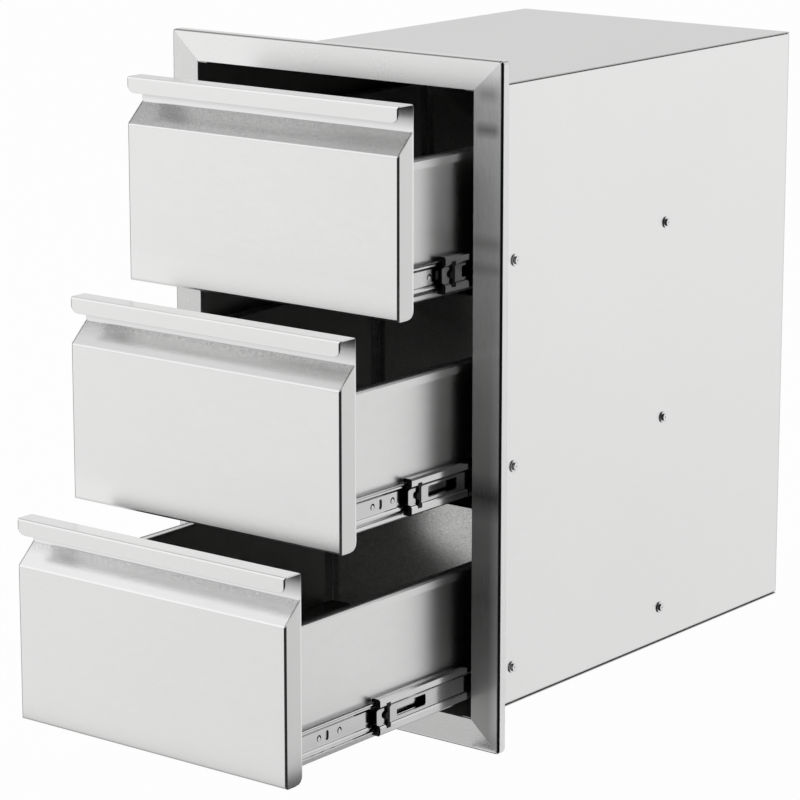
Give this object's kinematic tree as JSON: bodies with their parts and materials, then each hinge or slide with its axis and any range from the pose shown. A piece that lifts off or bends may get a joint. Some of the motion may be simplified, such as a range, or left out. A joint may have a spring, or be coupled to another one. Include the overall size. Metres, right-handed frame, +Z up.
{
  "type": "built-in outdoor kitchen drawer unit",
  "caption": "Flush-mount stainless steel drawer unit for an outdoor kitchen: mitred face frame, folded drawer fronts with integral grips, deep boxes on ball-bearing telescopic slides.",
  "frame": {"origin": "middle of the bottom rail's bearing lip, on the plane where the face frame closes against the wall of the cut-out", "axes": "+X to the right seen from the front, +Y into the wall, +Z up; the drawers open towards -Y"},
  "size_m": [0.402, 0.8156, 0.664],
  "materials": {
    "brushed_front": "stainless, long grain brushed along each rail and across each front",
    "shell_steel": "stainless, fine mill finish",
    "box_steel": "stainless, fine mill finish",
    "zinc_rail": "bright zinc plated, roll formed",
    "cage_steel": "thin strip with hardened balls, lightly oiled",
    "black_plastic": "moulded, satin"
  },
  "bodies": {
    "cabinet": {"frame_bottom_rail": "brushed_front", "frame_right_stile": "brushed_front", "frame_top_rail": "brushed_front", "frame_left_stile": "brushed_front", "cabinet_left_side": "shell_steel", "cabinet_right_side": "shell_steel", "cabinet_top": "shell_steel", "cabinet_bottom": "shell_steel", "cabinet_back": "shell_steel", "lower_left_outer_rail": "zinc_rail", "lower_right_outer_rail": "zinc_rail", "centre_left_outer_rail": "zinc_rail", "centre_right_outer_rail": "zinc_rail", "upper_left_outer_rail": "zinc_rail", "upper_right_outer_rail": "zinc_rail"},
    "lower_drawer": {"lower_drawer_front": "brushed_front", "lower_drawer_inner_front": "box_steel", "lower_drawer_tray": "box_steel", "lower_drawer_back": "box_steel", "lower_left_inner_rail": "zinc_rail", "lower_right_inner_rail": "zinc_rail"},
    "centre_drawer": {"centre_drawer_front": "brushed_front", "centre_drawer_inner_front": "box_steel", "centre_drawer_tray": "box_steel", "centre_drawer_back": "box_steel", "centre_left_inner_rail": "zinc_rail", "centre_right_inner_rail": "zinc_rail"},
    "upper_drawer": {"upper_drawer_front": "brushed_front", "upper_drawer_inner_front": "box_steel", "upper_drawer_tray": "box_steel", "upper_drawer_back": "box_steel", "upper_left_inner_rail": "zinc_rail", "upper_right_inner_rail": "zinc_rail"},
    "lower_middle_rails": {"lower_left_middle_rail": "zinc_rail", "lower_left_front_guide": "black_plastic", "lower_right_middle_rail": "zinc_rail", "lower_right_front_guide": "black_plastic"},
    "centre_middle_rails": {"centre_left_middle_rail": "zinc_rail", "centre_left_front_guide": "black_plastic", "centre_right_middle_rail": "zinc_rail", "centre_right_front_guide": "black_plastic"},
    "upper_middle_rails": {"upper_left_middle_rail": "zinc_rail", "upper_left_front_guide": "black_plastic", "upper_right_middle_rail": "zinc_rail", "upper_right_front_guide": "black_plastic"},
    "lower_outer_cages": {"lower_left_outer_ball_cage": "cage_steel", "lower_right_outer_ball_cage": "cage_steel"},
    "centre_outer_cages": {"centre_left_outer_ball_cage": "cage_steel", "centre_right_outer_ball_cage": "cage_steel"},
    "upper_outer_cages": {"upper_left_outer_ball_cage": "cage_steel", "upper_right_outer_ball_cage": "cage_steel"},
    "lower_inner_cages": {"lower_left_inner_ball_cage": "cage_steel", "lower_right_inner_ball_cage": "cage_steel"},
    "centre_inner_cages": {"centre_left_inner_ball_cage": "cage_steel", "centre_right_inner_ball_cage": "cage_steel"},
    "upper_inner_cages": {"upper_left_inner_ball_cage": "cage_steel", "upper_right_inner_ball_cage": "cage_steel"}
  },
  "joints": [
    {"name": "lower_drawer_slide", "type": "slide", "parent": "cabinet", "child": "lower_drawer", "axis": [0, -1, 0], "range_m": [-0.2696, 0.1504]},
    {"name": "centre_drawer_slide", "type": "slide", "parent": "cabinet", "child": "centre_drawer", "axis": [0, -1, 0], "range_m": [-0.191, 0.229]},
    {"name": "upper_drawer_slide", "type": "slide", "parent": "cabinet", "child": "upper_drawer", "axis": [0, -1, 0], "range_m": [-0.107, 0.313]},
    {"name": "lower_middle_slide", "type": "slide", "parent": "cabinet", "child": "lower_middle_rails", "axis": [0, -1, 0], "range_m": [-0.16176, 0.09024]},
    {"name": "centre_middle_slide", "type": "slide", "parent": "cabinet", "child": "centre_middle_rails", "axis": [0, -1, 0], "range_m": [-0.1146, 0.1374]},
    {"name": "upper_middle_slide", "type": "slide", "parent": "cabinet", "child": "upper_middle_rails", "axis": [0, -1, 0], "range_m": [-0.0642, 0.1878]},
    {"name": "lower_outer_cage_roll", "type": "slide", "parent": "cabinet", "child": "lower_outer_cages", "axis": [0, -1, 0], "range_m": [-0.08088, 0.04512]},
    {"name": "centre_outer_cage_roll", "type": "slide", "parent": "cabinet", "child": "centre_outer_cages", "axis": [0, -1, 0], "range_m": [-0.0573, 0.0687]},
    {"name": "upper_outer_cage_roll", "type": "slide", "parent": "cabinet", "child": "upper_outer_cages", "axis": [0, -1, 0], "range_m": [-0.0321, 0.0939]},
    {"name": "lower_inner_cage_roll", "type": "slide", "parent": "cabinet", "child": "lower_inner_cages", "axis": [0, -1, 0], "range_m": [-0.21568, 0.12032]},
    {"name": "centre_inner_cage_roll", "type": "slide", "parent": "cabinet", "child": "centre_inner_cages", "axis": [0, -1, 0], "range_m": [-0.1528, 0.1832]},
    {"name": "upper_inner_cage_roll", "type": "slide", "parent": "cabinet", "child": "upper_inner_cages", "axis": [0, -1, 0], "range_m": [-0.0856, 0.2504]}
  ],
  "couplings": [
    {"joint": "lower_middle_slide", "follows": "lower_drawer_slide", "ratio": 0.6},
    {"joint": "centre_middle_slide", "follows": "centre_drawer_slide", "ratio": 0.6},
    {"joint": "upper_middle_slide", "follows": "upper_drawer_slide", "ratio": 0.6},
    {"joint": "lower_outer_cage_roll", "follows": "lower_drawer_slide", "ratio": 0.3},
    {"joint": "centre_outer_cage_roll", "follows": "centre_drawer_slide", "ratio": 0.3},
    {"joint": "upper_outer_cage_roll", "follows": "upper_drawer_slide", "ratio": 0.3},
    {"joint": "lower_inner_cage_roll", "follows": "lower_drawer_slide", "ratio": 0.8},
    {"joint": "centre_inner_cage_roll", "follows": "centre_drawer_slide", "ratio": 0.8},
    {"joint": "upper_inner_cage_roll", "follows": "upper_drawer_slide", "ratio": 0.8}
  ]
}
